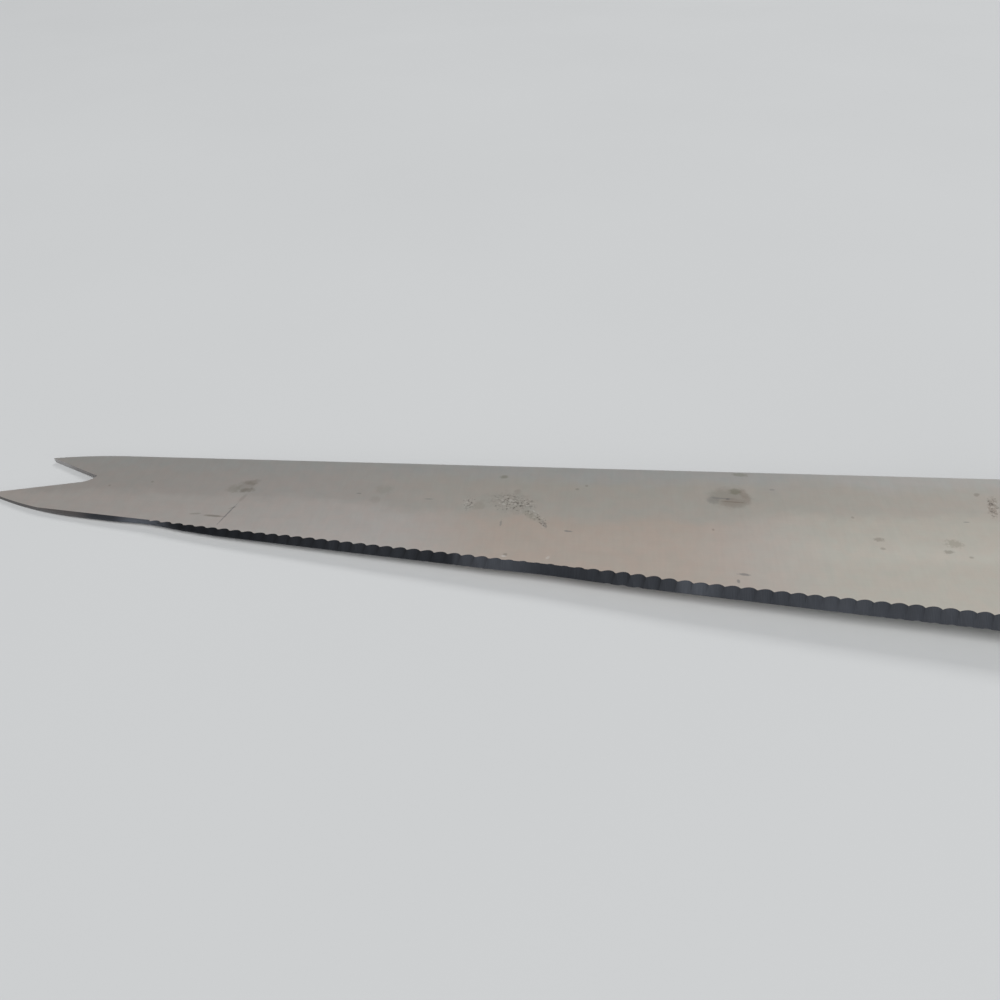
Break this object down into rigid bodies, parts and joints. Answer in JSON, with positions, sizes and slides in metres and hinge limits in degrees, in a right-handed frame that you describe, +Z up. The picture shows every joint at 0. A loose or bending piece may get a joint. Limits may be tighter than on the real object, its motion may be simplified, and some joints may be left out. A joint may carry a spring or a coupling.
{
  "type": "carving knife",
  "caption": "Serrated carving knife with a forked tip, a full tang between riveted wooden scales, bolsters and a lined hanging hole.",
  "frame": {"origin": "middle of the knife's box on the surface that it lies on, with the knife on its right side", "axes": "+X along the knife towards the butt of the handle, +Y from the cutting edge towards the spine, +Z up through the left face of the blade; the knife leans by 1.6 degrees, so that the points and the grip both touch the surface"},
  "size_m": [0.3277, 0.0342, 0.0166],
  "materials": {
    "blade_steel": "satin ground, dull, with faint stains and scratches",
    "bolster_steel": "polished, lightly worn",
    "pin_steel": "ground flush",
    "scale_wood": "oiled dark hardwood, satin, open pores",
    "rivet_brass": "ground flush, lightly tarnished"
  },
  "bodies": {
    "root": {"blade": "blade_steel", "bolster_left": "bolster_steel", "bolster_right": "bolster_steel", "bolster_pin_upper": "pin_steel", "bolster_pin_lower": "pin_steel", "scale_left": "scale_wood", "scale_right": "scale_wood", "rivet_front_tube": "rivet_brass", "rivet_front_pin": "rivet_brass", "rivet_middle_tube": "rivet_brass", "rivet_middle_pin": "rivet_brass", "rivet_rear_tube": "rivet_brass", "rivet_rear_pin": "rivet_brass", "hanging_eyelet": "rivet_brass"}
  },
  "joints": []
}
